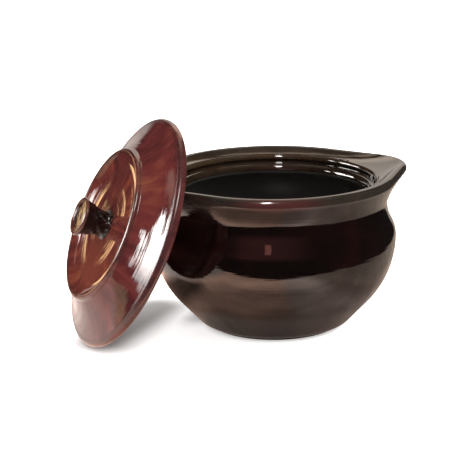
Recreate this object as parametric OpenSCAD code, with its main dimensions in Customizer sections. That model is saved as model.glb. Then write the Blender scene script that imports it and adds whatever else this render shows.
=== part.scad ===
// Individual stoneware casserole: a round-bellied crock with two pointed lugs on a dished rim,
// and a loose knobbed lid that leans on one lug or sits in the rim.
// Millimetres. Origin at the centre of the foot on the table, +Z up, +X along one lug.

/* [Crock body] */
// Radius of the belly at its widest
belly_r = 58.1; // [50:0.1:66]
// Height of the widest part of the belly
belly_z = 43.4; // [36:0.1:48]
// How far the radius of the lower belly exceeds the height of the widest part
belly_drop = 0.3; // [0.1:0.1:2]
// Angle of the straight flank below the belly from upright, in degrees
flank_turn = 43; // [40:0.5:50]
// Radius of the shoulder above the belly
shoulder_r = 14; // [12:0.5:18]
// How far the neck is drawn in from the belly
neck_in = 4.3; // [3:0.1:6]
// Height of the neck above the widest part of the belly
neck_rise = 16.3; // [14.5:0.1:20]
// Thickness of the wall
wall = 5.5; // [4.5:0.1:6.5]
// Thickness of the floor, measured from the table
floor_t = 6.5; // [5:0.1:8]

/* [Foot] */
// Height of the upright edge of the foot
foot_h = 1.4; // [0.6:0.1:2]
// How far the foot is set in from the end of the flank
foot_set = 3.6; // [3.2:0.1:5]
// Radius of the curve from the flank to the foot's underside
flank_round = 7; // [3:0.5:7]
// Width of the bare ring that stands on the table
foot_w = 4.5; // [3:0.1:6]
// Depth of the hollow inside the foot ring
foot_hollow = 1.5; // [0.8:0.1:2.5]

/* [Rim and lugs] */
// Height of the lip's crest above the neck
lip_rise = 14.1; // [11:0.1:17]
// How far the round lip stands out from the neck
lip_out = 4.4; // [3:0.1:6]
// Radius of the rolled lip on the round part of the rim
lip_bead = 2.9; // [2.2:0.1:4]
// How far each lug reaches beyond the round lip
lug_out = 9; // [6:0.1:12]
// Radius of the rolled lip at the lug's tip
lug_bead = 2.1; // [1.6:0.1:3]
// Radius of the lug's tip, seen from above
lug_tip_r = 23; // [16:0.5:28]
// Bend of the flare below the rim: 1 is straight, more is hollow
flare_bend = 1.3; // [1:0.05:1.8]
// Slope of the dished rim inside the round lip, in degrees
rim_slope = 27; // [22:1:32]

/* [Gallery] */
// Distance from the outside of the round lip to the gallery wall
rim_w = 10.2; // [9.5:0.1:12]
// Height of the gallery wall
gallery_h = 3.8; // [3:0.1:5]
// Width of the ledge inside the gallery wall
ledge_w = 3.2; // [2:0.1:4]
// Radius of the ledge's rounded inner edge
ledge_nose = 1.6; // [0.8:0.1:2]
// Height of the straight throat below the ledge
throat_h = 4; // [3:0.1:6]

/* [Lid] */
// Radius of the lid
lid_r = 55.4; // [53:0.1:57]
// Radius of the lid's rounded edge
lid_edge = 2.3; // [1.6:0.1:2.8]
// Outer radius of the raised disc in the middle of the lid
ridge_r = 36.8; // [32:0.1:40]
// Height of the raised disc's ridge above the middle of the edge
ridge_h = 13.7; // [11:0.1:16]
// Radius of the ridge's rounding
ridge_bead = 1.9; // [1.4:0.1:2.6]
// Depth of the dish inside the ridge
dish_d = 3; // [2:0.1:4]
// Radius of the curve from the dish's floor up to the ridge
dish_curve = 9; // [6:0.5:12]
// Thickness of the lid in the middle
lid_t = 6.9; // [5.5:0.1:8]
// Hollow of the sloping band outside the ridge
band_hollow = 1.1; // [0.4:0.1:1.8]
// Play between the lid's locating ring and the gallery wall
ring_gap = 3.3; // [1:0.1:4]
// Width of the locating ring
ring_w = 4.5; // [3.5:0.1:6]
// Radius of the locating ring's rounded edges
ring_round = 1.2; // [0.6:0.1:1.6]
// Width of the slope from the locating ring up to the flat underside
under_w = 9; // [7:0.1:12]
// Bulge of that slope
under_bow = 1.5; // [0.5:0.1:2.5]
// How far the locating ring reaches below the gallery's top edge when the lid is on
ring_dip = 0.8; // [0.3:0.1:1.6]

/* [Knob] */
// Radius of the knob's head
knob_r = 9.2; // [7.5:0.1:11]
// Radius of the knob's waist
knob_waist = 5.8; // [4.5:0.1:6.5]
// Height of the knob above the dish
knob_h = 14.4; // [12:0.1:18]
// Radius of the knob's rounded rim
knob_bead = 1.1; // [0.7:0.1:1.5]
// Depth of the hollow in the knob's top
knob_dish = 0.9; // [0.4:0.1:1.5]
// Radius of the foot where the knob is joined to the lid
knob_foot = 7; // [6.6:0.1:8]
// Height of the foot's upright edge
knob_step = 0.4; // [0.2:0.1:0.8]
// Height of the waist above the dish
waist_h = 3; // [2:0.1:4.5]
// Hollow of the knob's side between the waist and the head
knob_hollow = 0.6; // [0.2:0.1:1]

/* [Where the lid is] */
// The lid leans on a lug or sits in the rim
lid_place = "leaning"; // [leaning, seated]
// Angle of the leaning lid from upright, in degrees
lid_lean = 23.9; // [18:0.1:30]
// Angle of the leaning lid from the lug, round the crock's axis, in degrees
lid_turn = -1.6; // [-5:0.1:5]
// Gap between the leaning lid and the lug
lean_gap = 0.3; // [0.1:0.1:0.6]
// Gap between the leaning lid's edge and the table
table_gap = 0.2; // [0.1:0.1:0.5]

/* [Hidden] */
$fn = 96;

// Steps round the lofted rim and steps in one drawn curve
RIM_STEPS = 120;
ARC_STEPS = 14;
FLARE_STEPS = 6;
BEAD_STEPS = 6;
// How far one solid reaches into another before they are joined
BITE = 0.4;

// Crock body
neck_r = belly_r - neck_in;
neck_z = belly_z + neck_rise;
lower_r = belly_z + belly_drop;
lower_c = [belly_r - lower_r, belly_z];
shoulder_c = [belly_r - shoulder_r, belly_z];
hollow_dx = shoulder_r - neck_in;
hollow_r = (pow(hollow_dx, 2) + pow(neck_rise, 2) - pow(shoulder_r, 2)) / (2 * (shoulder_r - hollow_dx));
hollow_c = [neck_r + hollow_r, neck_z];
shoulder_turn = atan2(neck_rise, hollow_c[0] - shoulder_c[0]);
flank_top = lower_c + lower_r * [cos(flank_turn), -sin(flank_turn)];
flank_r = flank_top[0] - (flank_top[1] - foot_h) * tan(flank_turn);
foot_r = flank_r - foot_set;
flank_c = [flank_r - flank_round * tan((90 - flank_turn) / 2), foot_h + flank_round];

// Rim and lugs
lip_r = neck_r + lip_out;
crest_z = neck_z + lip_rise;
bead_z = crest_z - lip_bead;
lug_reach = lip_r + lug_out;
lug_c = lug_reach - lug_tip_r;
lug_turn = acos((lip_r - lug_tip_r) / lug_c);
lug_tip_turn = atan2(lug_tip_r * sin(lug_turn), lug_c + lug_tip_r * cos(lug_turn));
// Angle at which the rolled lip meets the flare
BEAD_START = -30;

// Gallery
gallery_r = lip_r - rim_w;
rim_in_r = lip_r - lip_bead * (1 + sin(rim_slope));
rim_in_z = bead_z + lip_bead * cos(rim_slope);
gallery_z = rim_in_z - (rim_in_r - gallery_r) * tan(rim_slope);
ledge_z = gallery_z - gallery_h;
throat_r = gallery_r - ledge_w;
throat_z = ledge_z - throat_h;
inner_r = belly_r - wall;
inner_turn = asin((belly_z - floor_t) / (lower_r - wall));
throat_in = inner_r - throat_r;
throat_bow = (pow(throat_z - belly_z, 2) + pow(throat_in, 2)) / (2 * throat_in);
throat_turn = asin((throat_z - belly_z) / throat_bow);

// Lid, in its own frame: h = 0 at the middle of its edge
dish_h = ridge_h - dish_d;
ceiling_h = dish_h - lid_t;
edge_c = [lid_r - lid_edge, 0];
ring_r = gallery_r - ring_gap;
// Height of the lid when its flat underside is level with the lip's crest
seat_lift = crest_z + lid_edge;
ring_h = gallery_z - ring_dip - seat_lift;
ring_in_r = ring_r - ring_w;
ceiling_r = ring_in_r - under_w;
ridge_c = [ridge_r - ridge_bead, ridge_h - ridge_bead];
// The dish's curve touches its floor and the ridge's rounding
curve_up = dish_curve + ridge_bead - dish_d;
curve_in = sqrt(pow(dish_curve + ridge_bead, 2) - pow(curve_up, 2));
curve_c = ridge_c + [-curve_in, curve_up];
curve_turn = atan2(curve_up, -curve_in);
// Angles at which the ridge's rounding meets the band and the edge meets the band
RIDGE_OUT = -25;
BAND_END = 115;

// Share of the knob foot's width by which its side is hollow
FOOT_SAG = 0.4;
// Angle at which the knob's rounded rim meets the hollow in its top
HEAD_END = 150;

// Leaning lid: its edge is on the table and its hollow side is against the lug
lean_z = table_gap + lid_edge + (lid_r - lid_edge) * cos(lid_lean);
lug_bead_x = lug_reach - lug_bead;
lug_bead_z = crest_z - lug_bead;
lean_reach = ceiling_h - lean_gap - lug_bead - (lug_bead_z - lean_z) * sin(lid_lean);
lean_x = lean_reach / cos(lid_lean) - lug_bead_x;

echo(height = crest_z, over_lugs = 2 * lug_reach, foot = 2 * foot_r);
echo(gallery = 2 * gallery_r, gallery_top = gallery_z, ledge = ledge_z, mouth = 2 * throat_r);
echo(lid_centre = [lean_x, lean_z], seat_lift = seat_lift, ring_end = ring_h, ceiling = ceiling_h);

// Points of an arc about c, from angle a0 to angle a1
function arc(c, r, a0, a1, n = ARC_STEPS) =
    [for (i = [0:n]) let (a = a0 + (a1 - a0) * i / n) c + r * [cos(a), sin(a)]];

// Points of a shallow curve from p to q that bulges by sag to the left of the way
function bow(p, q, sag, n = ARC_STEPS) =
    let (d = q - p, left = [-d[1], d[0]] / norm(d))
    [for (i = [0:n]) let (t = i / n) p + t * d + 4 * sag * t * (1 - t) * left];

// The points of a curve without the first, which the curve before it has already drawn
function onward(p) = [for (i = [1:len(p) - 1]) p[i]];

// Distance from the axis to the rim's outline at an angle from the nearer lug
function lug_plan(a) =
    a < lug_tip_turn ? lug_c * cos(a) + sqrt(pow(lug_tip_r, 2) - pow(lug_c * sin(a), 2)) :
    a < lug_turn ? lip_r / cos(lug_turn - a) :
    lip_r;

// Section of the rim where its outline is r from the axis: up the flare, over the lip, down the dish
function rim_section(r) =
    let (
        root = [neck_r - BITE, neck_z - 2 * BITE],
        roll = lip_bead + (lug_bead - lip_bead) * (r - lip_r) / lug_out,
        bead = [r - roll, crest_z - roll],
        lip = bead + roll * [cos(BEAD_START), sin(BEAD_START)],
        edge = [gallery_r, gallery_z],
        way = bead - edge,
        slope = atan2(way[1], way[0]) + asin(roll / norm(way)),
        bite = BITE * [1, tan(slope)]
    )
    concat(
        [for (i = [0:FLARE_STEPS - 1]) let (t = i / FLARE_STEPS)
            [root[0] + (lip[0] - root[0]) * pow(t, flare_bend), root[1] + (lip[1] - root[1]) * t]],
        arc(bead, roll, BEAD_START, 90 + slope, BEAD_STEPS),
        [edge + bite, edge - bite]
    );

// Solid through a stack of closed outlines that all have the same number of points
module loft(rings) {
    n = len(rings[0]);
    last = len(rings) - 1;
    points = [for (ring = rings) each ring];
    sides = [for (k = [0:last - 1], j = [0:n - 1])
        let (a = k * n + j, b = k * n + (j + 1) % n)
        each [[a, a + n, b + n], [a, b + n, b]]];
    bottom = [for (j = [0:n - 1]) j];
    top = [for (j = [0:n - 1]) last * n + n - 1 - j];
    polyhedron(points, concat(sides, [bottom, top]));
}

// Solid rim with both lugs, filled across its mouth
module rim() {
    angles = [for (j = [0:RIM_STEPS - 1]) 360 * j / RIM_STEPS];
    sections = [for (a = angles) rim_section(lug_plan(min(a % 180, 180 - a % 180)))];
    rings = [for (k = [0:len(sections[0]) - 1])
        [for (j = [0:RIM_STEPS - 1])
            let (p = sections[j][k]) [p[0] * cos(angles[j]), p[0] * sin(angles[j]), p[1]]]];
    loft(rings);
}

// Solid body up to the neck
module body() {
    foot_in = foot_r - foot_w;
    top_z = neck_z + 3 * BITE;
    rotate_extrude()
        polygon(concat(
            [[0, foot_hollow], [foot_in - foot_hollow, foot_hollow], [foot_in, 0], [foot_r, 0]],
            [[foot_r, foot_h]],
            arc(flank_c, flank_round, -90, -flank_turn, BEAD_STEPS),
            arc(lower_c, lower_r, -flank_turn, 0),
            onward(arc(shoulder_c, shoulder_r, 0, shoulder_turn)),
            onward(arc(hollow_c, hollow_r, 180 + shoulder_turn, 180)),
            [[neck_r, top_z], [0, top_z]]
        ));
}

// Space inside the crock: the pot, the throat, the ledge and the gallery
module cavity() {
    throat_c = [inner_r - throat_bow, belly_z];
    nose_c = [throat_r + ledge_nose, ledge_z - ledge_nose];
    top_z = crest_z + BITE;
    rotate_extrude()
        polygon(concat(
            [[0, floor_t]],
            arc(lower_c, lower_r - wall, -inner_turn, 0, 2 * ARC_STEPS),
            onward(arc(throat_c, throat_bow, 0, throat_turn)),
            arc(nose_c, ledge_nose, 180, 90, BEAD_STEPS),
            [[gallery_r, ledge_z], [gallery_r, top_z], [0, top_z]]
        ));
}

module crock() {
    color("#2a1512")
        difference() {
            union() {
                body();
                rim();
            }
            cavity();
        }
}

// Carries the lid's own frame to where the lid is
module place_lid() {
    if (lid_place == "leaning")
        rotate([0, 0, lid_turn])
            translate([lean_x, 0, lean_z])
                rotate([0, lid_lean - 90, 0])
                    children();
    else
        translate([0, 0, seat_lift])
            children();
}

module lid() {
    ridge_out = ridge_c + ridge_bead * [cos(RIDGE_OUT), sin(RIDGE_OUT)];
    band_end = edge_c + lid_edge * [cos(BAND_END), sin(BAND_END)];
    ring_out_c = [ring_r - ring_round, ring_h + ring_round];
    ring_in_c = [ring_in_r + ring_round, ring_h + ring_round];
    color("#6b2a1c")
        place_lid()
            rotate_extrude()
                polygon(concat(
                    [[0, ceiling_h], [0, dish_h]],
                    arc(curve_c, dish_curve, -90, curve_turn - 180, BEAD_STEPS),
                    onward(arc(ridge_c, ridge_bead, curve_turn, RIDGE_OUT, BEAD_STEPS)),
                    onward(bow(ridge_out, band_end, -band_hollow)),
                    onward(arc(edge_c, lid_edge, BAND_END, -90, BEAD_STEPS)),
                    [[ring_r, -lid_edge]],
                    arc(ring_out_c, ring_round, 0, -90, BEAD_STEPS),
                    arc(ring_in_c, ring_round, -90, -180, BEAD_STEPS),
                    onward(bow([ring_in_r, ring_in_c[1]], [ceiling_r, ceiling_h], -under_bow))
                ));
}

module lid_knob() {
    top_h = dish_h + knob_h;
    foot_top = [knob_foot, dish_h + knob_step];
    waist = [knob_waist, dish_h + waist_h];
    head_c = [knob_r - knob_bead, top_h - knob_bead];
    foot_hollow_d = (knob_foot - knob_waist) * FOOT_SAG;
    color("#4d2a18")
        place_lid()
            rotate_extrude()
                polygon(concat(
                    [[0, top_h - knob_dish], [0, dish_h], [knob_foot, dish_h]],
                    bow(foot_top, waist, foot_hollow_d),
                    onward(bow(waist, [knob_r, head_c[1]], knob_hollow)),
                    onward(arc(head_c, knob_bead, 0, HEAD_END, BEAD_STEPS))
                ));
}

crock();
lid();
lid_knob();
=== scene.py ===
"""Looks of the individual stoneware casserole: a dark glazed crock and its red-brown lid, on a pale floor."""

import math

import bpy
import numpy as np
from mathutils import Matrix, Vector


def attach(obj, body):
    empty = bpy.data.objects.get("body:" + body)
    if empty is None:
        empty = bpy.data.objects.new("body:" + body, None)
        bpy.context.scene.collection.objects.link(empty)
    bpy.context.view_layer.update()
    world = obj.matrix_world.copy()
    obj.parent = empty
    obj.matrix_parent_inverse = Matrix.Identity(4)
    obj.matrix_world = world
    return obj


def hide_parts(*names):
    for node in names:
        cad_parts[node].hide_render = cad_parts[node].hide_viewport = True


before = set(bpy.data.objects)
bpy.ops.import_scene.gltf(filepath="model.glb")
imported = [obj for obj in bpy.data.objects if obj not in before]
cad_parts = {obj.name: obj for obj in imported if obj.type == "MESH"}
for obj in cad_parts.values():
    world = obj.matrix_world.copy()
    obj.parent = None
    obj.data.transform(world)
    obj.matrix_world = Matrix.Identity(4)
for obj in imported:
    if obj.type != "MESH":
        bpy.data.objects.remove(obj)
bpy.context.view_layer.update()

MM = 0.001

# Crock, in millimetres; BEAD_START is the angle in degrees at which the lip's roll leaves the flare
BELLY_R, BELLY_Z, BELLY_DROP = 58.1, 43.4, 0.3
FLANK_TURN = math.radians(43.0)
SHOULDER_R, NECK_IN, NECK_RISE = 14.0, 4.3, 16.3
WALL, FLOOR_T, FLOOR_FLAT_R = 5.5, 6.5, 22.0
FOOT_H, FOOT_SET, FLANK_ROUND = 1.4, 3.6, 7.0
FOOT_W, FOOT_HOLLOW, FOOT_ROUND = 4.5, 1.5, 0.4
LIP_RISE, LIP_OUT, LIP_BEAD = 14.1, 4.4, 2.9
LUG_OUT, LUG_BEAD, LUG_TIP_R = 9.0, 2.1, 23.0
FLARE_BEND, BEAD_START = 1.3, -30.0
RIM_SLOPE = math.radians(27.0)
RIM_W, GALLERY_H, LEDGE_W, LEDGE_NOSE, THROAT_H = 10.2, 3.8, 3.2, 3.0, 4.0
GALLERY_ROUND, LEDGE_ROUND = 1.9, 0.6
# Hollow of the rim's top as a share of its width, and how much of that is lost at the lugs
RIM_HOLLOW, LUG_FLATNESS = 0.075, 0.6
# Share of the foot's hollow that its bevel takes, and where on the flank the foot's rounding has ended
FOOT_BEVEL, FLANK_START = 0.7, 0.25

# Lid and knob, in millimetres, in the lid's own frame: h = 0 at the middle of its edge
LID_R, LID_EDGE = 55.4, 2.3
RIDGE_R, RIDGE_H, RIDGE_BEAD = 36.8, 13.7, 1.4
DISH_D, DISH_CURVE, LID_T, BAND_HOLLOW = 3.0, 9.0, 6.9, 1.1
RING_GAP, RING_W, RING_ROUND, RING_DIP, RING_CORNER = 3.3, 4.5, 1.2, 0.8, 0.6
UNDER_W, UNDER_BOW = 9.0, 1.5
KNOB_R, KNOB_WAIST, KNOB_H, KNOB_BEAD, KNOB_DISH = 9.2, 5.8, 14.4, 1.1, 0.9
KNOB_FOOT, KNOB_STEP, WAIST_H, KNOB_HOLLOW = 7.0, 0.4, 3.0, 0.6
KNOB_FOOT_BOW, KNOB_TOP_BOW = 0.48, 0.25
# Angles in degrees where the band leaves the ridge, where the edge's roll starts and where the knob's ends
RIDGE_END, EDGE_START, KNOB_BEAD_END = -25.0, 84.0, 150.0
LID_LEAN, LID_TURN = math.radians(23.9), math.radians(-1.6)
LEAN_GAP, TABLE_GAP = 0.3, 0.2
# Height, radius and width of the faint throwing ring in the lid's dish
THROW_RING, THROW_R, THROW_W = 0.13, 20.5, 3.0
# Height of the lumps round the knob's neck and the length over which they fade below its head
CRUST, CRUST_FADE = 0.5, 5.0
# Waves that make the lumps: share, count round the neck, twist per millimetre and phase
CRUST_WAVES = [(0.45, 4, 0.9, 0), (0.35, 7, -1.3, 1), (0.2, 13, 2.1, 2)]

# Values that follow from these
NECK_R, NECK_Z = BELLY_R - NECK_IN, BELLY_Z + NECK_RISE
LOWER_R = BELLY_Z + BELLY_DROP
LIP_R, CREST_Z = NECK_R + LIP_OUT, NECK_Z + LIP_RISE
BEAD_Z = CREST_Z - LIP_BEAD
LUG_REACH = LIP_R + LUG_OUT
GALLERY_R = LIP_R - RIM_W
RIM_IN_R = LIP_R - LIP_BEAD * (1 + math.sin(RIM_SLOPE))
RIM_IN_Z = BEAD_Z + LIP_BEAD * math.cos(RIM_SLOPE)
GALLERY_Z = RIM_IN_Z - (RIM_IN_R - GALLERY_R) * math.tan(RIM_SLOPE)
LEDGE_Z = GALLERY_Z - GALLERY_H
THROAT_R, THROAT_Z = GALLERY_R - LEDGE_W, LEDGE_Z - THROAT_H
DISH_H = RIDGE_H - DISH_D
CEILING_H = DISH_H - LID_T

# Mesh: steps round the axis, and in millimetres the longest step along a half section and on flat parts,
# the distance of the next point after a rounding, and the radius below which a point is on the axis
STEPS_ROUND, KNOB_STEPS = 256, 160
MAX_STEP, FLAT_STEP, NEXT, ON_AXIS = 1.5, 3.0, 0.3, 1e-6
# Millimetres along a half section for each unit of the glaze's flow
FLOW_UNIT = 10.0


def arc(c, r, a0, a1, n):
    """Points of an arc about c, from angle a0 to angle a1 in degrees."""
    a = np.radians(np.linspace(a0, a1, n + 1))
    return np.c_[c[0] + r * np.cos(a), c[1] + r * np.sin(a)]


def bow(p, q, sag, n):
    """Points of a shallow curve from p to q that bulges by sag to the left of the way."""
    p, q = np.asarray(p, float), np.asarray(q, float)
    d = q - p
    left = np.array([-d[1], d[0]]) / np.linalg.norm(d)
    t = np.linspace(0, 1, n + 1)[:, None]
    return p + t * d + 4 * sag * t * (1 - t) * left


def fillet(before, corner, after, r, n=5):
    """Points that round the corner between two straight walls."""
    before, corner, after = (np.asarray(x, float) for x in (before, corner, after))
    u = (before - corner) / np.linalg.norm(before - corner)
    v = (after - corner) / np.linalg.norm(after - corner)
    half = math.acos(float(np.clip(u @ v, -1, 1))) / 2
    cut = r / math.tan(half)
    c = corner + (u + v) / np.linalg.norm(u + v) * r / math.sin(half)
    a, b = corner + u * cut - c, corner + v * cut - c
    t = np.linspace(0, 1, n + 1)[:, None]
    turn = math.acos(float(np.clip(a @ b / r**2, -1, 1)))
    return c + (np.sin((1 - t) * turn) * a + np.sin(t * turn) * b) / math.sin(turn)


def line(p, q, step=MAX_STEP):
    """Points of a straight stretch from p to q, no further apart than step."""
    p, q = np.asarray(p, float), np.asarray(q, float)
    n = max(1, math.ceil(np.linalg.norm(q - p) / step))
    return p + np.linspace(0, 1, n + 1)[:, None] * (q - p)


def lug_plan(a):
    """Distance from the axis to the rim's outline at an angle from the nearer lug."""
    c = LUG_REACH - LUG_TIP_R
    turn = math.acos((LIP_R - LUG_TIP_R) / c)
    tip_turn = math.atan2(LUG_TIP_R * math.sin(turn), c + LUG_TIP_R * math.cos(turn))
    if a < tip_turn:
        return c * math.cos(a) + math.sqrt(LUG_TIP_R**2 - (c * math.sin(a)) ** 2)
    return LIP_R / math.cos(turn - a) if a < turn else LIP_R


def outer_path():
    """Outside of the crock below the rim, the same all round: under the foot and up to the neck."""
    lower_c = np.array([BELLY_R - LOWER_R, BELLY_Z])
    flank_top = lower_c + LOWER_R * np.array([math.cos(FLANK_TURN), -math.sin(FLANK_TURN)])
    flank_end = np.array([flank_top[0] - (flank_top[1] - FOOT_H) * math.tan(FLANK_TURN), FOOT_H])
    flank_start = flank_end + (flank_top - flank_end) * FLANK_START
    foot_r = flank_end[0] - FOOT_SET
    foot_in = foot_r - FOOT_W
    bevel = FOOT_HOLLOW * FOOT_BEVEL
    hollow_dx = SHOULDER_R - NECK_IN
    hollow_r = (hollow_dx**2 + NECK_RISE**2 - SHOULDER_R**2) / (2 * (SHOULDER_R - hollow_dx))
    shoulder_c = np.array([BELLY_R - SHOULDER_R, BELLY_Z])
    hollow_c = np.array([NECK_R + hollow_r, NECK_Z])
    turn = math.degrees(math.atan2(NECK_RISE, hollow_c[0] - shoulder_c[0]))
    return [
        ("under", line([0.0, FOOT_HOLLOW], [foot_in - FOOT_HOLLOW, FOOT_HOLLOW], FLAT_STEP)),
        ("bare", np.vstack([
            line([foot_in - bevel, bevel], [foot_in, 0.0], step=0.4)[:-1],
            line([foot_in, 0.0], [foot_r - FOOT_ROUND, 0.0], step=0.8),
        ])),
        ("foot", np.vstack([
            fillet([foot_in, 0.0], [foot_r, 0.0], [foot_r, FOOT_H], FOOT_ROUND)[1:],
            fillet([foot_r, 0.0], [foot_r, FOOT_H], flank_end, FOOT_ROUND),
            fillet([foot_r, FOOT_H], flank_end, flank_top, FLANK_ROUND, 8),
        ])),
        ("belly", np.vstack([
            line(flank_start, flank_top),
            arc(lower_c, LOWER_R, -math.degrees(FLANK_TURN), 0, 28)[1:],
            arc(shoulder_c, SHOULDER_R, 0, turn, 14)[1:],
            arc(hollow_c, hollow_r, 180 + turn, 180, 10)[1:],
        ])),
    ]


def rim_path(outline):
    """Flare, lip, dished top and gallery's wall where the rim's outline is that far from the axis."""
    to_lug = (outline - LIP_R) / LUG_OUT
    roll = LIP_BEAD + (LUG_BEAD - LIP_BEAD) * to_lug
    bead = np.array([outline - roll, CREST_Z - roll])
    lip_turn = math.radians(BEAD_START)
    lip = bead + roll * np.array([math.cos(lip_turn), math.sin(lip_turn)])
    t = np.linspace(0, 1, 13)[1:-1]
    flare = np.c_[NECK_R + (lip[0] - NECK_R) * t**FLARE_BEND, NECK_Z + (lip[1] - NECK_Z) * t]
    gallery = np.array([GALLERY_R, GALLERY_Z])
    way = bead - gallery
    hollow = RIM_HOLLOW * (1 - LUG_FLATNESS * to_lug)
    slope = math.atan2(way[1], way[0]) + math.asin(roll / np.linalg.norm(way)) + 4 * hollow
    rolled = arc(bead, roll, BEAD_START, 90 + math.degrees(slope), 16)
    dished = bow(rolled[-1], gallery, hollow * np.linalg.norm(rolled[-1] - gallery), 16)
    edge = fillet(dished[-3], gallery, [GALLERY_R, LEDGE_Z], GALLERY_ROUND)
    return [
        ("flare", flare),
        ("lip", rolled),
        ("dish", dished[1:-3]),
        ("gallery", edge),
        ("wall", line(edge[-1] - [0, NEXT], [GALLERY_R, LEDGE_Z + LEDGE_ROUND], step=0.5)[:-1]),
    ]


def inner_path():
    """Inside of the crock, the same all round: over the ledge and down to the middle of the floor."""
    gallery, corner = [GALLERY_R, GALLERY_Z], [GALLERY_R, LEDGE_Z]
    nose_c = [THROAT_R + LEDGE_NOSE, LEDGE_Z - LEDGE_NOSE]
    inner_r = BELLY_R - WALL
    throat_in = inner_r - THROAT_R
    throat_bow = ((THROAT_Z - BELLY_Z) ** 2 + throat_in**2) / (2 * throat_in)
    throat_turn = math.degrees(math.asin((THROAT_Z - BELLY_Z) / throat_bow))
    inner_turn = math.degrees(math.asin((BELLY_Z - FLOOR_T) / (LOWER_R - WALL)))
    return [
        ("ledge", np.vstack([
            fillet(gallery, corner, [nose_c[0], LEDGE_Z], LEDGE_ROUND),
            arc(nose_c, LEDGE_NOSE, 90, 180, 8),
        ])),
        ("inside", np.vstack([
            line([THROAT_R, LEDGE_Z - LEDGE_NOSE - NEXT], [THROAT_R, THROAT_Z], step=0.6),
            arc([inner_r - throat_bow, BELLY_Z], throat_bow, throat_turn, 0, 14)[1:],
            arc([BELLY_R - LOWER_R, BELLY_Z], LOWER_R - WALL, 0, -inner_turn, 36)[1:],
            line([FLOOR_FLAT_R, FLOOR_T], [0.0, FLOOR_T], FLAT_STEP),
        ])),
    ]


def lid_path():
    """Half section of the lid in its own frame, from the middle of its top round to its hollow side."""
    edge_c = np.array([LID_R - LID_EDGE, 0.0])
    ridge_c = np.array([RIDGE_R - RIDGE_BEAD, RIDGE_H - RIDGE_BEAD])
    curve_up = DISH_CURVE + RIDGE_BEAD - DISH_D
    curve_in = math.sqrt((DISH_CURVE + RIDGE_BEAD) ** 2 - curve_up**2)
    curve_c = ridge_c + [-curve_in, curve_up]
    curve_turn = math.degrees(math.atan2(curve_up, -curve_in))
    ridge = arc(ridge_c, RIDGE_BEAD, curve_turn, RIDGE_END, 18)
    curve = arc(curve_c, DISH_CURVE, -90, curve_turn - 180, 12)
    floor = line([KNOB_FOOT, DISH_H], [curve_c[0], DISH_H], step=0.7)[:-1]
    floor[:, 1] += THROW_RING * np.exp(-(((floor[:, 0] - THROW_R) / THROW_W) ** 2))
    rolled = arc(edge_c, LID_EDGE, EDGE_START, -90, 18)
    band = bow(ridge[-1], rolled[0], -BAND_HOLLOW, 18)
    seat = rolled[-1]
    ring_r = GALLERY_R - RING_GAP
    ring_h = GALLERY_Z - RING_DIP - CREST_Z - LID_EDGE
    ring_in = ring_r - RING_W
    ring_foot = fillet(seat, [ring_r, -LID_EDGE], [ring_r, ring_h], RING_CORNER)
    under = bow([ring_in, ring_h + RING_ROUND], [ring_in - UNDER_W, CEILING_H], -UNDER_BOW, 14)
    return [
        ("dish", np.vstack([line([0.0, DISH_H], [KNOB_FOOT, DISH_H])[:-1], floor, curve[:-1]])),
        ("ridge", ridge),
        ("band", band[1:-1]),
        ("edge", rolled),
        ("seat", np.vstack([line(seat, ring_foot[0], step=0.8)[1:-1], ring_foot])),
        ("ring", np.vstack([
            line(ring_foot[-1], [ring_r, ring_h + RING_ROUND], step=0.8)[1:-1],
            arc([ring_r - RING_ROUND, ring_h + RING_ROUND], RING_ROUND, 0, -90, 6),
            arc([ring_in + RING_ROUND, ring_h + RING_ROUND], RING_ROUND, -90, -180, 6),
        ])),
        ("under", np.vstack([under[1:], line(under[-1], [0.0, CEILING_H], FLAT_STEP)[1:]])),
    ]


def knob_path(a):
    """Half section of the knob at one angle, from its foot to the middle of its top, with a lumpy neck."""
    top = DISH_H + KNOB_H
    head_c = [KNOB_R - KNOB_BEAD, top - KNOB_BEAD]
    waist = [KNOB_WAIST, DISH_H + WAIST_H]
    foot_top = [KNOB_FOOT, DISH_H + KNOB_STEP]
    rim = arc(head_c, KNOB_BEAD, 0, KNOB_BEAD_END, 12)
    foot = np.vstack([
        [[0.0, DISH_H]],
        [[KNOB_FOOT, DISH_H]],
        bow(foot_top, waist, KNOB_FOOT_BOW, 8),
    ])
    neck = bow(waist, rim[0], KNOB_HOLLOW, 18)[1:-1]
    for points in (foot, neck):
        h = points[:, 1] - DISH_H
        lump = sum(part * np.sin(count * a + twist * h + phase) for part, count, twist, phase in CRUST_WAVES)
        below_head = np.clip((KNOB_H - KNOB_BEAD - h) / CRUST_FADE, 0, 1)
        points[:, 0] += CRUST * np.clip(h / KNOB_STEP, 0, 1) * below_head * lump
    hollow = bow(rim[-1], [0.0, top - KNOB_DISH], KNOB_TOP_BOW, 10)
    return [("foot", foot), ("neck", neck), ("rim", rim), ("top", hollow[1:])]


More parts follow.
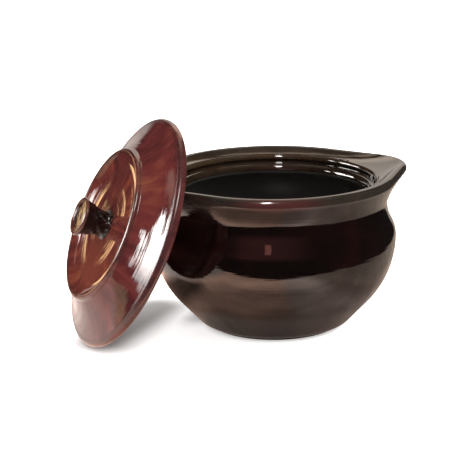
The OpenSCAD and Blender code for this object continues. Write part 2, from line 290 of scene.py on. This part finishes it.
def sweep(name, paths, zones):
    """Mesh round the axis from one half section per angle, with zone weights and flow as attributes."""
    n = len(paths)
    rows = [np.vstack([p for _, p in path]) for path in paths]
    names = [z for z, p in paths[0] for _ in range(len(p))]
    count = len(names)
    angles = 2 * math.pi * np.arange(n) / n
    run = np.r_[0, np.cumsum(np.linalg.norm(np.diff(rows[0], axis=0), axis=1))]
    verts, faces, face_zone, weights, flow = [], [], [], [], []
    index = np.zeros((count, n), int)
    for k in range(count):
        on_axis = rows[0][k][0] < ON_AXIS
        for j in range(1 if on_axis else n):
            r, z = rows[j][k]
            c, s = math.cos(angles[j]), math.sin(angles[j])
            index[k, j if not on_axis else slice(None)] = len(verts)
            verts.append((r * c * MM, r * s * MM, z * MM))
            weights.append(zones.get(names[k], (0.0, 0.0, 0.0)))
            flow.append((c, s, run[k] / FLOW_UNIT))
    for k in range(count - 1):
        for j in range(n):
            m = (j + 1) % n
            quad = [index[k, j], index[k, m], index[k + 1, m], index[k + 1, j]]
            face = list(dict.fromkeys(int(i) for i in quad))
            if len(face) > 2:
                faces.append(face)
                face_zone.append(names[k])
    mesh = bpy.data.meshes.new(name)
    mesh.from_pydata(verts, [], faces)
    for label, values in (("zone", weights), ("flow", flow)):
        layer = mesh.attributes.new(label, "FLOAT_VECTOR", "POINT")
        layer.data.foreach_set("vector", np.array(values, np.float32).ravel())
    mesh.shade_smooth()
    mesh.update()
    piece = bpy.data.objects.new(name, mesh)
    bpy.context.scene.collection.objects.link(piece)
    return piece, face_zone


def lid_place():
    """Carries the lid's own frame to where the lid leans on the lug."""
    lean_z = TABLE_GAP + LID_EDGE + (LID_R - LID_EDGE) * math.cos(LID_LEAN)
    reach = CEILING_H - LEAN_GAP - LUG_BEAD - (CREST_Z - LUG_BEAD - lean_z) * math.sin(LID_LEAN)
    lean_x = reach / math.cos(LID_LEAN) - (LUG_REACH - LUG_BEAD)
    turn = Matrix.Rotation(LID_LEAN - math.pi / 2, 4, "Y")
    round_crock = Matrix.Rotation(LID_TURN, 4, "Z")
    return round_crock @ Matrix.Translation((lean_x * MM, 0, lean_z * MM)) @ turn


def new_material(name):
    """New material with its node tree and its shader."""
    m = bpy.data.materials.new(name)
    m.use_nodes = True
    return m, m.node_tree, m.node_tree.nodes["Principled BSDF"]


def node(tree, kind, inputs=None, **settings):
    """New shader node with its settings, constant inputs and links."""
    n = tree.nodes.new(kind)
    for key, value in settings.items():
        setattr(n, key, value)
    for key, value in (inputs or {}).items():
        socket = n.inputs[key]
        if isinstance(value, bpy.types.NodeSocket):
            tree.links.new(value, socket)
        else:
            socket.default_value = value
    return n


def math_node(tree, operation, *values):
    """The values joined by one operation, from the left."""
    result = values[0]
    for value in values[1:]:
        result = node(tree, "ShaderNodeMath", {0: result, 1: value}, operation=operation).outputs[0]
    return result


def plus(tree, *values):
    return math_node(tree, "ADD", *values)


def times(tree, *values):
    return math_node(tree, "MULTIPLY", *values)


def most(tree, *values):
    return math_node(tree, "MAXIMUM", *values)


def vector_node(tree, operation, *values, output="Vector"):
    return node(tree, "ShaderNodeVectorMath", dict(enumerate(values)), operation=operation).outputs[output]


def stretched(tree, place, scale):
    return node(tree, "ShaderNodeMapping", {"Vector": place, "Scale": scale}).outputs["Vector"]


def attribute(tree, name):
    return node(tree, "ShaderNodeAttribute", attribute_name=name).outputs["Vector"]


def split(tree, vector):
    """The three parts of a vector."""
    return node(tree, "ShaderNodeSeparateXYZ", {"Vector": vector}).outputs[:]


def map_range(tree, value, start, end, low=0.0, high=1.0, kind="LINEAR"):
    """Goes from low at start to high at end, and stays there beyond."""
    inputs = {"Value": value, "From Min": start, "From Max": end, "To Min": low, "To Max": high}
    return node(tree, "ShaderNodeMapRange", inputs, interpolation_type=kind).outputs["Result"]


def smooth(tree, value, start, end):
    """Rises smoothly from 0 at start to 1 at end."""
    return map_range(tree, value, start, end, kind="SMOOTHSTEP")


def between(tree, value, low, high, soft):
    """1 where value lies between low and high, with soft ends."""
    above_low = smooth(tree, value, low - soft, low + soft)
    below_high = smooth(tree, value, high + soft, high - soft)
    return times(tree, above_low, below_high)


def ramp(tree, fac, stops):
    """Colour ramp through the given (place, colour) stops."""
    n = node(tree, "ShaderNodeValToRGB", {"Fac": fac})
    for i, (at, color) in enumerate(stops):
        e = n.color_ramp.elements[i] if i < 2 else n.color_ramp.elements.new(at)
        e.position = at
        e.color = (*color, 1)
    return n.outputs["Color"]


def noise(tree, place, scale, detail, rough, distortion=0.0):
    inputs = {"Vector": place, "Scale": scale, "Detail": detail, "Roughness": rough, "Distortion": distortion}
    return node(tree, "ShaderNodeTexNoise", inputs).outputs["Fac"]


def centred(tree, value, middle=0.5):
    return math_node(tree, "SUBTRACT", value, middle)


def varied(tree, value, gain, base):
    return plus(tree, times(tree, value, gain), base)


def blend(tree, fac, a, b):
    """Colour a where fac is 0 and colour b where it is 1."""
    n = node(tree, "ShaderNodeMix", {0: fac}, data_type="RGBA")
    for socket, value in ((n.inputs[6], a), (n.inputs[7], b)):
        if isinstance(value, bpy.types.NodeSocket):
            tree.links.new(value, socket)
        else:
            socket.default_value = (*value, 1)
    return n.outputs[2]


# Glaze: scales of its runs and throwing rings along the flow
RUN_SCALE, RING_SCALE = (7.0, 7.0, 0.5), (0.9, 0.9, 5.0)
# Its noises, as detail, roughness and distortion, with the scale first for the ripples and the dry lumps
BLOTCH_NOISE, GRAIN_NOISE, RUN_NOISE, RING_NOISE = (5.0, 0.55, 0.7), (4.0, 0.6), (2.6, 0.45, 0.5), (3.0, 0.5)
WAVE_NOISE, LUMP_NOISE = (95.0, 2.0, 0.4), (420.0, 3.0, 0.6)
# How much finer the grain is than the blotches, its part in the tone, and the heights of grain and rings
GRAIN_FINER, GRAIN_TONE, GRAIN_HEIGHT, RING_HEIGHT = 11, 0.05, 0.003, 1.6
GLAZE_IOR = 1.56
# Grain from the smoothest to the roughest places, and these as shares of the roughness
GRAIN_RANGE, GLOSSY, MATT = (0.3, 0.75), 0.6, 1.7
# How worn an edge is before its own colour starts to show and shows fully
WORN_RANGE = (0.2, 0.9)
# Where a red patch starts and is full, as shares of its half sizes
RED_PATCH_RANGE = (1.3, 0.3)


def glaze(name, body, edge, amber, dull_tone, blotch, streak, rough, ripple, crust=0.0, dull=0.25, red_patch=None):
    """Glossy glaze in blotches and runs: thin on edges, amber where it pools, and a duller tone on some
    zones.

    The red patch is one place of another colour, which on the crock's lip is a painted red reflection: its
    centre and half sizes in metres, colour and share.
    """
    m, tree, shader = new_material(name)
    place = node(tree, "ShaderNodeTexCoord").outputs["Object"]
    flow = attribute(tree, "flow")
    thin, pool, dull_share = split(tree, attribute(tree, "zone"))
    big = noise(tree, place, blotch, *BLOTCH_NOISE)
    fine = noise(tree, place, blotch * GRAIN_FINER, *GRAIN_NOISE)
    runs = noise(tree, stretched(tree, flow, RUN_SCALE), 1.0, *RUN_NOISE)
    grain = times(tree, centred(tree, fine), GRAIN_TONE)
    color = ramp(tree, plus(tree, times(tree, big, 1 - streak), times(tree, runs, streak), grain), body)
    pooled = ramp(tree, plus(tree, times(tree, plus(tree, runs, big), 0.5), grain), amber)
    color = blend(tree, pool, color, pooled)
    worn = map_range(tree, times(tree, thin, plus(tree, fine, 0.5)), *WORN_RANGE)
    color = blend(tree, worn, color, edge)
    color = blend(tree, dull_share, color, dull_tone)
    # Redder patch: on the crock's lip this is a painted red reflection
    if red_patch:
        centre, half, tone, share = red_patch
        off = vector_node(tree, "DIVIDE", vector_node(tree, "SUBTRACT", place, centre), half)
        off = vector_node(tree, "LENGTH", off, output="Value")
        color = blend(tree, times(tree, smooth(tree, off, *RED_PATCH_RANGE), share), color, tone)
    tree.links.new(color, shader.inputs["Base Color"])
    matt = map_range(tree, fine, *GRAIN_RANGE, rough * GLOSSY, rough * MATT)
    tree.links.new(plus(tree, matt, times(tree, dull_share, dull)), shader.inputs["Roughness"])
    shader.inputs["IOR"].default_value = GLAZE_IOR
    wave = noise(tree, place, *WAVE_NOISE)
    rings = noise(tree, stretched(tree, flow, RING_SCALE), 1.0, *RING_NOISE)
    skin = plus(tree, wave, times(tree, rings, RING_HEIGHT), times(tree, fine, GRAIN_HEIGHT))
    if crust:
        skin = plus(tree, skin, times(tree, noise(tree, place, *LUMP_NOISE), dull_share, crust))
    bump = node(tree, "ShaderNodeBump", {"Height": skin, "Strength": 1.0, "Distance": ripple})
    tree.links.new(bump.outputs["Normal"], shader.inputs["Normal"])
    return m


# Bare clay: its colours from dark stains to pale grit, the noises of both, and the grit's share and depth
CLAY_TONES = [(0.3, (0.14, 0.085, 0.06)), (0.55, (0.3, 0.21, 0.15)), (0.75, (0.42, 0.33, 0.25))]
GRIT_NOISE, STAIN_NOISE, GRIT_SHARE, GRIT_DEPTH = (900.0, 4.0, 0.5), (60.0, 3.0, 0.5), 0.4, 0.0002


def bare_clay():
    """Unglazed grey-buff foot ring, dry and gritty."""
    m, tree, shader = new_material("bare_clay")
    place = node(tree, "ShaderNodeTexCoord").outputs["Object"]
    grit = noise(tree, place, *GRIT_NOISE)
    stain = noise(tree, place, *STAIN_NOISE)
    tone = plus(tree, times(tree, grit, GRIT_SHARE), times(tree, stain, 1 - GRIT_SHARE))
    tree.links.new(ramp(tree, tone, CLAY_TONES), shader.inputs["Base Color"])
    shader.inputs["Roughness"].default_value = 0.85
    bump = node(tree, "ShaderNodeBump", {"Height": grit, "Strength": 0.6, "Distance": GRIT_DEPTH})
    tree.links.new(bump.outputs["Normal"], shader.inputs["Normal"])
    return m


def dress(piece, materials, body, node_name):
    """Gives a piece its materials and ties it to the CAD part that it stands for."""
    for m in materials:
        piece.data.materials.append(m)
    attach(piece, body)
    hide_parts(node_name)


# Colours of the two glazes: stops of the body and of the amber pools, thin edges and the duller tone
DARK_GLAZE = {
    "body": [
        (0.32, (0.0014, 0.001, 0.0009)), (0.5, (0.0025, 0.0013, 0.0012)),
        (0.62, (0.0045, 0.0015, 0.0014)), (0.76, (0.008, 0.0024, 0.002)),
    ],
    "edge": (0.04, 0.024, 0.013),
    "amber": [(0.35, (0.009, 0.0055, 0.0035)), (0.52, (0.017, 0.0105, 0.006)), (0.7, (0.028, 0.017, 0.0095))],
    "dull_tone": (0.026, 0.0235, 0.0205),
}
LID_GLAZE = {
    "body": [
        (0.32, (0.026, 0.0075, 0.0085)), (0.45, (0.06, 0.0125, 0.0125)),
        (0.56, (0.102, 0.0205, 0.018)), (0.7, (0.17, 0.05, 0.026)),
    ],
    "edge": (0.1, 0.06, 0.034),
    "amber": [
        (0.36, (0.042, 0.01, 0.01)), (0.48, (0.098, 0.0205, 0.0165)),
        (0.58, (0.15, 0.035, 0.021)), (0.7, (0.215, 0.074, 0.034)),
    ],
    "dull_tone": (0.0045, 0.0038, 0.003),
}
# Redder patches: on the front of the crock's lip a painted red reflection, and low in the lid's dish a
# brighter, redder patch
RED_LIP_REFLECTION = ((-0.0195, -0.0545, 0.0716), (0.021, 0.021, 0.0035), (0.036, 0.0105, 0.0095), 1.0)
RED_DISH = ((-0.0905, -0.003, 0.039), (0.03, 0.026, 0.017), (0.21, 0.05, 0.027), 0.4)

# How thin, pooled and dull the glaze is on each zone of a piece; zones that aren't named have none of these
CROCK_ZONES = {
    "lip": (0.1, 0.5, 0.3),
    "dish": (0.2, 1.0, 0.0),
    "gallery": (0.5, 1.0, 0.0),
    "wall": (0.0, 0.35, 0.0),
    "ledge": (0.25, 0.65, 0.0),
    "inside": (0.0, 0.0, 1.0),
}
LID_ZONES = {"ridge": (0.25, 0.2, 0.25), "edge": (0.1, 0.0, 0.35), "dish": (0.0, 0.75, 0.0)}
KNOB_ZONES = {
    "foot": (0.0, 0.0, 0.95),
    "neck": (0.0, 0.0, 1.0),
    "rim": (0.4, 0.3, 0.1),
    "top": (0.05, 0.2, 0.75),
}
UNGLAZED = ("under", "bare")


def build_crock():
    angles = 2 * math.pi * np.arange(STEPS_ROUND) / STEPS_ROUND
    outlines = [lug_plan(min(a % math.pi, math.pi - a % math.pi)) for a in angles]
    paths = [outer_path() + rim_path(outline) + inner_path() for outline in outlines]
    piece, face_zone = sweep("glazed_crock", paths, CROCK_ZONES)
    piece.data.polygons.foreach_set("material_index", [int(z in UNGLAZED) for z in face_zone])
    # The redder front of the lip is a painted red reflection.
    skin = glaze(
        "dark_glaze", **DARK_GLAZE,
        blotch=26.0, streak=0.25, rough=0.045, ripple=0.00004, red_patch=RED_LIP_REFLECTION,
    )
    dress(piece, [skin, bare_clay()], "crock", "crock")


def build_lid():
    piece, _ = sweep("glazed_lid", [lid_path()] * STEPS_ROUND, LID_ZONES)
    piece.data.transform(lid_place())
    skin = glaze(
        "brown_glaze", **LID_GLAZE,
        blotch=34.0, streak=0.4, rough=0.05, ripple=0.00007, dull=0.5, red_patch=RED_DISH,
    )
    dress(piece, [skin], "lid", "lid")


def build_knob():
    paths = [knob_path(2 * math.pi * j / KNOB_STEPS) for j in range(KNOB_STEPS)]
    piece, _ = sweep("glazed_knob", paths, KNOB_ZONES)
    piece.data.transform(lid_place())
    skin = glaze(
        "knob_glaze", **LID_GLAZE,
        blotch=60.0, streak=0.3, rough=0.06, ripple=0.000012, crust=36.0, dull=0.05,
    )
    dress(piece, [skin], "lid", "lid_knob")


# Studio: a direction is degrees round the object from the camera's side, positive to the right, and
# degrees up from the table
CAMERA_AZ, CAMERA_EL, CAMERA_ROLL = -112.0, 15.6, -0.3
# Distance from the camera to its aim in metres, and its sensor and lens in millimetres
CAMERA_FAR, SENSOR, LENS = 0.9, 36.0, 148.0
CAMERA_AIM, LIGHT_AIM = Vector((0.0, 0.0, 0.036)), Vector((0.0, 0.0, 0.05))
# Where the photo shows the aim: pixels right of and above its middle, with the lens's length in pixels
AIM_SEEN = Vector((44.9, -19.1, -1883.4))


def direction(right, up):
    az, el = math.radians(CAMERA_AZ + right), math.radians(up)
    return Vector((math.cos(el) * math.cos(az), math.cos(el) * math.sin(az), math.sin(el)))


def soft_light(name, right, up, far, size, radiance, color):
    """Soft box that faces the object."""
    data = bpy.data.lights.new(name, "AREA")
    data.shape = "RECTANGLE"
    data.size, data.size_y = size
    data.energy = radiance * math.pi * size[0] * size[1]
    data.color = color
    lamp = bpy.data.objects.new(name, data)
    way = direction(right, up)
    lamp.location = LIGHT_AIM + far * way
    lamp.rotation_euler = way.to_track_quat("Z", "Y").to_euler()
    lamp.visible_camera = False
    bpy.context.scene.collection.objects.link(lamp)
    return lamp


def build_camera():
    cam = bpy.data.cameras.new("camera")
    cam.sensor_width = SENSOR
    cam.lens = LENS
    obj = bpy.data.objects.new("camera", cam)
    bpy.context.scene.collection.objects.link(obj)
    back = direction(0, CAMERA_EL)
    look = (-back).to_track_quat("-Z", "Y").to_matrix()
    swing = AIM_SEEN.normalized().rotation_difference(Vector((0, 0, -1))).to_matrix()
    roll = Matrix.Rotation(math.radians(CAMERA_ROLL), 3, "Z")
    obj.matrix_world = Matrix.Translation(CAMERA_AIM + CAMERA_FAR * back) @ (look @ swing @ roll).to_4x4()
    bpy.context.scene.camera = obj


def sheet(name, corners, z, material):
    """Flat sheet of the studio, which isn't part of the object."""
    mesh = bpy.data.meshes.new(name)
    mesh.from_pydata([(x, y, z) for x, y in corners], [], [list(range(len(corners)))])
    mesh.materials.append(material)
    obj = bpy.data.objects.new(name, mesh)
    bpy.context.scene.collection.objects.link(obj)
    return obj


# Ends of the painted soft shadow between the lid and the crock, in metres
SHADOW_FOOT, SHADOW_BACK = Vector((-0.087, -0.001, 0.0)), Vector((-0.046, 0.042, 0.0))
# Shadows painted on the floor, by the lid, round the foot and behind the crock: the distances in metres at
# which each starts and is full, and the strength of the last two
LID_SHADE, FOOT_SHADE, BACK_SHADE = (0.0235, 0.004), (0.037, 0.031), (0.052, 0.034)
FOOT_STRENGTH, BACK_STRENGTH = 0.4, 0.75
# How far behind the crock's axis the shadow behind it starts and is full, in metres
BEHIND_AXIS = (0.0, 0.02)
# Paper in the light and in full painted shadow, and its own glow, which keeps it white and fades out in the
# painted shadow
PAPER, PAPER_SHADE, PAPER_GLOW = (0.92, 0.91, 0.9), (0.62, 0.605, 0.59), 0.75
FLOOR_HALF = 3


def shadow(tree, place, start, full):
    """0 further than start from the line of the painted soft shadow, and 1 nearer than full."""
    way = SHADOW_BACK - SHADOW_FOOT
    off = vector_node(tree, "SUBTRACT", place, SHADOW_FOOT)
    along = vector_node(tree, "DOT_PRODUCT", off, way.normalized(), output="Value")
    along = map_range(tree, along, 0.0, way.length)
    away = vector_node(tree, "DISTANCE", off, vector_node(tree, "MULTIPLY", along, way), output="Value")
    return smooth(tree, away, start, full)


def white_paper():
    """The pale floor, bright except for a painted soft shadow beside the leaning lid, round the foot and
    behind the crock.
    """
    m, tree, shader = new_material("white_paper")
    shader.inputs["Roughness"].default_value = 0.9
    shader.inputs["Specular IOR Level"].default_value = 0.1
    shader.inputs["Emission Color"].default_value = (1.0, 0.99, 0.98, 1)
    place = node(tree, "ShaderNodeTexCoord").outputs["Object"]
    away = vector_node(tree, "LENGTH", place, output="Value")
    back = smooth(tree, split(tree, place)[1], *BEHIND_AXIS)
    by_lid = shadow(tree, place, *LID_SHADE)
    by_foot = times(tree, smooth(tree, away, *FOOT_SHADE), FOOT_STRENGTH)
    by_back = times(tree, smooth(tree, away, *BACK_SHADE), back, BACK_STRENGTH)
    shade = most(tree, by_lid, by_foot, by_back)
    tree.links.new(blend(tree, shade, PAPER, PAPER_SHADE), shader.inputs["Base Color"])
    tree.links.new(map_range(tree, shade, 0.0, 1.0, PAPER_GLOW, 0.0), shader.inputs["Emission Strength"])
    return m


# Table that only the glaze shows, a glowing sheet that paints the lit table's reflection: its outline in
# millimetres right and in front of the crock's axis, and its height in metres, just above the floor
TABLE_OUTLINE = [
    (-900, 115), (40, 115), (72, 105), (113, 87), (138, 44), (152, 12), (158, -40), (165, -125),
    (178, -250), (210, -600), (260, -1500), (0, -1500), (-40, -100), (-900, -100),
]
TABLE_Z = 0.00005
# Its glow by the distance from the axis, in decimetres, kept low by the foot as painted shade
TABLE_GLOW = [(0.36, 0.3), (0.47, 0.45), (0.57, 0.92), (0.75, 1.4), (0.9, 2.1), (1.0, 2.6)]
# Its tint on the left, then each further tint with the places in metres where it starts and is full:
# towards the right, near the foot, far to the left and, in patches, further still
LEFT_TINT = (1.0, 0.6, 0.45)
RIGHT_TINTS = [
    (0.004, 0.02, (0.82, 0.62, 0.54)), (0.04, 0.07, (0.36, 0.27, 0.22)), (0.075, 0.1, (0.25, 0.2, 0.16)),
]
FOOT_TINT = (0.05, 0.037, (1.05, 0.8, 0.68))
FAR_LEFT, OLIVE = (-0.07, -0.1, (1.4, 1.17, 1.06)), (-0.19, -0.26, (0.85, 0.78, 0.45))
# It shows in front of the crock and on its right, and fades far to the left; from and to in metres
SHOWS_TOWARD, SHOWS_ALONG, SHOWS_REACH = (-0.09, -0.045), (-0.05, 0.02), (-1.2, -0.6)
# The lid's shadow painted on it, the places along X where that starts and is full, and the glow left in it
TABLE_SHADE, SHADE_FROM, SHADE_GLOW = (0.033, 0.009), (-0.094, -0.084), 0.15
# Its noises, with scale, detail, roughness and distortion: smudges and patches shift its tints by these
# lengths in metres, and clouds and boards change its glow by these gains and bases
SMUDGE_NOISE, SMUDGE_SHIFT = (40.0, 3.0, 0.55, 0.6), 0.02
PATCH_NOISE, PATCH_SHIFT = (13.0, 4.0, 0.6, 0.8), 0.35
CLOUD_NOISE, CLOUD_GLOW = (22.0, 4.0, 0.6, 0.4), (0.9, 0.55)
BOARD_NOISE, BOARD_GLOW, BOARD_SCALE = (1.0, 4.0, 0.6, 0.6), (1.1, 0.45), (7.0, 75.0)
# Its polish dims it where the glaze looks steeply down on it: the glow's change between two slants, and
# where the polish lies along the table, with soft ends, and away from the axis
POLISH_SLANT, POLISH_GLOW = (0.18, 0.28), (-0.58, 0.1)
POLISH_ALONG, POLISH_AWAY = (-0.085, 0.05, 0.018), (0.072, 0.085)


def tinted(tree, color, value, start, full, tint):
    return blend(tree, smooth(tree, value, start, full), color, tint)


def table_top(right, front):
    """The table as the glaze shows it, a glowing sheet: warm, with painted shade by the foot and in the lid's
    shadow, dark on the right, pale towards the windows.
    """
    m, tree, _ = new_material("table_top")
    place = node(tree, "ShaderNodeTexCoord").outputs["Object"]
    along = vector_node(tree, "DOT_PRODUCT", place, right, output="Value")
    toward = vector_node(tree, "DOT_PRODUCT", place, front, output="Value")
    smudge = centred(tree, noise(tree, place, *SMUDGE_NOISE))
    away = varied(tree, smudge, SMUDGE_SHIFT, vector_node(tree, "LENGTH", place, output="Value"))
    bent = varied(tree, centred(tree, noise(tree, place, *PATCH_NOISE)), PATCH_SHIFT, along)

    tint = LEFT_TINT
    for right_tint in RIGHT_TINTS:
        tint = tinted(tree, tint, along, *right_tint)
    tint = tinted(tree, tint, away, *FOOT_TINT)
    decimetres = times(tree, away, 10.0)
    glow = ramp(tree, decimetres, [(at, (level,) * 3) for at, level in TABLE_GLOW])
    color = vector_node(tree, "MULTIPLY", glow, tint)
    color = tinted(tree, color, along, *FAR_LEFT)
    color = tinted(tree, color, bent, *OLIVE)

    shows = most(tree, smooth(tree, toward, *SHOWS_TOWARD), smooth(tree, along, *SHOWS_ALONG))
    shows = times(tree, shows, smooth(tree, bent, *SHOWS_REACH))
    beside_lid = smooth(tree, split(tree, place)[0], *SHADE_FROM)
    shade = times(tree, shadow(tree, place, *TABLE_SHADE), beside_lid)
    lit = map_range(tree, shade, 0.0, 1.0, 1.0, SHADE_GLOW)

    cloud = varied(tree, noise(tree, place, *CLOUD_NOISE), *CLOUD_GLOW)
    across, down = BOARD_SCALE
    grain = {"X": times(tree, along, across), "Y": times(tree, toward, down)}
    grain = node(tree, "ShaderNodeCombineXYZ", grain).outputs["Vector"]
    wood = varied(tree, noise(tree, grain, *BOARD_NOISE), *BOARD_GLOW)
    slant = node(tree, "ShaderNodeLayerWeight", {"Blend": 0.5}).outputs["Facing"]
    polished = times(tree, between(tree, along, *POLISH_ALONG), smooth(tree, away, *POLISH_AWAY))
    polish = varied(tree, map_range(tree, slant, *POLISH_SLANT, *POLISH_GLOW), polished, 1.0)

    strength = times(tree, cloud, wood, polish, shows, lit)
    lamp = node(tree, "ShaderNodeEmission", {"Color": color, "Strength": strength})
    tree.links.new(lamp.outputs["Emission"], tree.nodes["Material Output"].inputs["Surface"])
    return m


# Room that only the glaze shows: each patch of it is from, to and softness across, then up, in degrees.
# Across counts from straight behind for the wall, the warm strip and the sun, and else from the camera's side
WALL_PATCHES = [
    ((-19.0, 24.0, 2.0), (-12.0, 42.0, 2.5)),
    ((-31.0, -18.0, 2.0), (-12.0, 8.0, 3.0)),
    ((-30.0, 26.0, 3.0), (52.5, 63.0, 2.5)),
]
WARM_STRIP = ((-39.0, -31.0, 1.0), (-7.0, 0.9, 0.6))
LOW_SUN = ((-31.0, -22.0, 1.0), (-6.0, -2.6, 0.5))
CLOTH = ((-38.0, 24.0, 22.0), (8.0, 64.0, 12.0))
CURTAIN = ((-117.0, -106.0, 1.5), (22.0, 32.0, 2.0))
WINDOWS = [
    ((-102.0, -84.0, 0.6), (4.0, 26.5, 0.6)),
    ((-116.0, -103.2, 0.6), (5.5, 18.0, 0.6)),
    ((-75.5, -69.5, 0.6), (5.0, 27.0, 0.6)),
]
# Lowest and highest place in degrees of the tones of the room and its wall, and these tones
TONES_FROM, TONES_TO = -10.0, 90.0
ROOM_TONES = [(0.0, (0.018, 0.015, 0.014)), (0.6, (0.02, 0.017, 0.015)), (0.8, (0.25, 0.22, 0.19))]
WALL_TONES = [
    (0.0, (0.6, 0.54, 0.49)), (0.1, (0.8, 0.72, 0.66)), (0.33, (1.05, 0.93, 0.82)),
    (0.42, (2.3, 1.95, 1.65)), (0.65, (1.9, 1.5, 1.2)),
]
CLOTH_TONE, WARM_TONE, SUN_TONE = (0.34, 0.12, 0.115), (4.6, 2.95, 1.4), (2.6, 1.9, 1.15)
CURTAIN_TONE, VEIL_TONE, SKY_TONE = (1.3, 0.95, 0.8), (1.8, 1.8, 1.9), (26.0, 25.6, 24.8)
STUDIO_WHITE = (1.5, 1.5, 1.5)
# The panes waver in the glaze: noise, and how far it moves them across and up, in degrees
WAVER_NOISE, WAVER_ACROSS, WAVER_UP = (9.0, 3.0, 0.55, 0.5), 7.0, 8.0
# The veil over the panes: it clears between these heights in degrees, with streaks about a middle value
VEIL_CLEARS, STREAK_SCALE, STREAK_NOISE, STREAK_MIDDLE = (4.0, 17.0), (60.0, 60.0, 9.0), (1.0, 3.0, 0.6), 0.35


def patch(tree, across, up, width, height):
    """1 inside a patch of the room."""
    return times(tree, between(tree, across, *width), between(tree, up, *height))


def build_room(right, front):
    """White to the eye and to matt surfaces, and in the glaze a dim room with a pale wall behind."""
    world = bpy.data.worlds.new("room")
    bpy.context.scene.world = world
    world.use_nodes = True
    world.cycles.sampling_method = "NONE"
    tree = world.node_tree
    way = node(tree, "ShaderNodeTexCoord").outputs["Generated"]
    x = vector_node(tree, "DOT_PRODUCT", way, right, output="Value")
    y = vector_node(tree, "DOT_PRODUCT", way, front, output="Value")
    degrees = math.degrees(1.0)
    turn = times(tree, math_node(tree, "ARCTAN2", x, y), degrees)
    behind = times(tree, math_node(tree, "ARCTAN2", x, times(tree, y, -1.0)), degrees)
    rise = node(tree, "ShaderNodeMath", {0: split(tree, way)[2]}, operation="ARCSINE").outputs[0]
    rise = times(tree, rise, degrees)

    height = map_range(tree, rise, TONES_FROM, TONES_TO)
    on_wall = most(tree, *(patch(tree, behind, rise, *place) for place in WALL_PATCHES))
    room = blend(tree, on_wall, ramp(tree, height, ROOM_TONES), ramp(tree, height, WALL_TONES))
    room = blend(tree, patch(tree, turn, rise, *CLOTH), room, CLOTH_TONE)
    room = blend(tree, patch(tree, behind, rise, *WARM_STRIP), room, WARM_TONE)
    room = blend(tree, patch(tree, behind, rise, *LOW_SUN), room, SUN_TONE)

    waver = centred(tree, noise(tree, way, *WAVER_NOISE))
    side = varied(tree, waver, WAVER_ACROSS, turn)
    up = varied(tree, waver, WAVER_UP, rise)
    room = blend(tree, patch(tree, side, up, *CURTAIN), room, CURTAIN_TONE)
    streaks = noise(tree, stretched(tree, way, STREAK_SCALE), *STREAK_NOISE)
    clear = plus(tree, smooth(tree, rise, *VEIL_CLEARS), centred(tree, streaks, STREAK_MIDDLE))
    daylight = blend(tree, clear, VEIL_TONE, SKY_TONE)
    for window in WINDOWS:
        room = blend(tree, patch(tree, side, up, *window), room, daylight)

    path = node(tree, "ShaderNodeLightPath")
    white = most(tree, path.outputs["Is Camera Ray"], path.outputs["Is Diffuse Ray"])
    tree.links.new(blend(tree, white, room, STUDIO_WHITE), tree.nodes["Background"].inputs["Color"])


# Soft boxes: direction in degrees, distance and size in metres, radiance and colour
LAMP = dict(right=-9, up=58, far=1.4, size=(0.13, 0.5), radiance=50.0, color=(1.0, 0.97, 0.94))
RED_SPOT = dict(right=-6, up=35, far=1.4, size=(0.13, 0.42), radiance=1.7, color=(1.0, 0.36, 0.29))
FILL = dict(right=105, up=40, far=1.6, size=(1.0, 1.0), radiance=10.0, color=(1.0, 1.0, 1.0))


def build_lights():
    """Two lamps that show in the glaze and light nothing matt, and a fill that no reflection shows."""
    for name, settings in (("lamp", LAMP), ("red_spot", RED_SPOT)):
        soft_light(name, **settings).visible_diffuse = False
    soft_light("fill", **FILL).visible_glossy = False


def build_studio():
    right, front = direction(90, 0), direction(0, 0)
    square = [(-1, -1), (1, -1), (1, 1), (-1, 1)]
    floor = sheet("floor", [(x * FLOOR_HALF, y * FLOOR_HALF) for x, y in square], 0.0, white_paper())
    floor.visible_glossy = False
    corners = [((u * right + v * front) * MM).xy[:] for u, v in TABLE_OUTLINE]
    mirrored = sheet("table_in_glaze", corners, TABLE_Z, table_top(right, front))
    mirrored.visible_camera = False
    mirrored.visible_diffuse = False
    mirrored.visible_shadow = False
    build_lights()
    build_room(right, front)
    bpy.context.scene.view_settings.view_transform = "Standard"


build_crock()
build_lid()
build_knob()
build_camera()
build_studio()
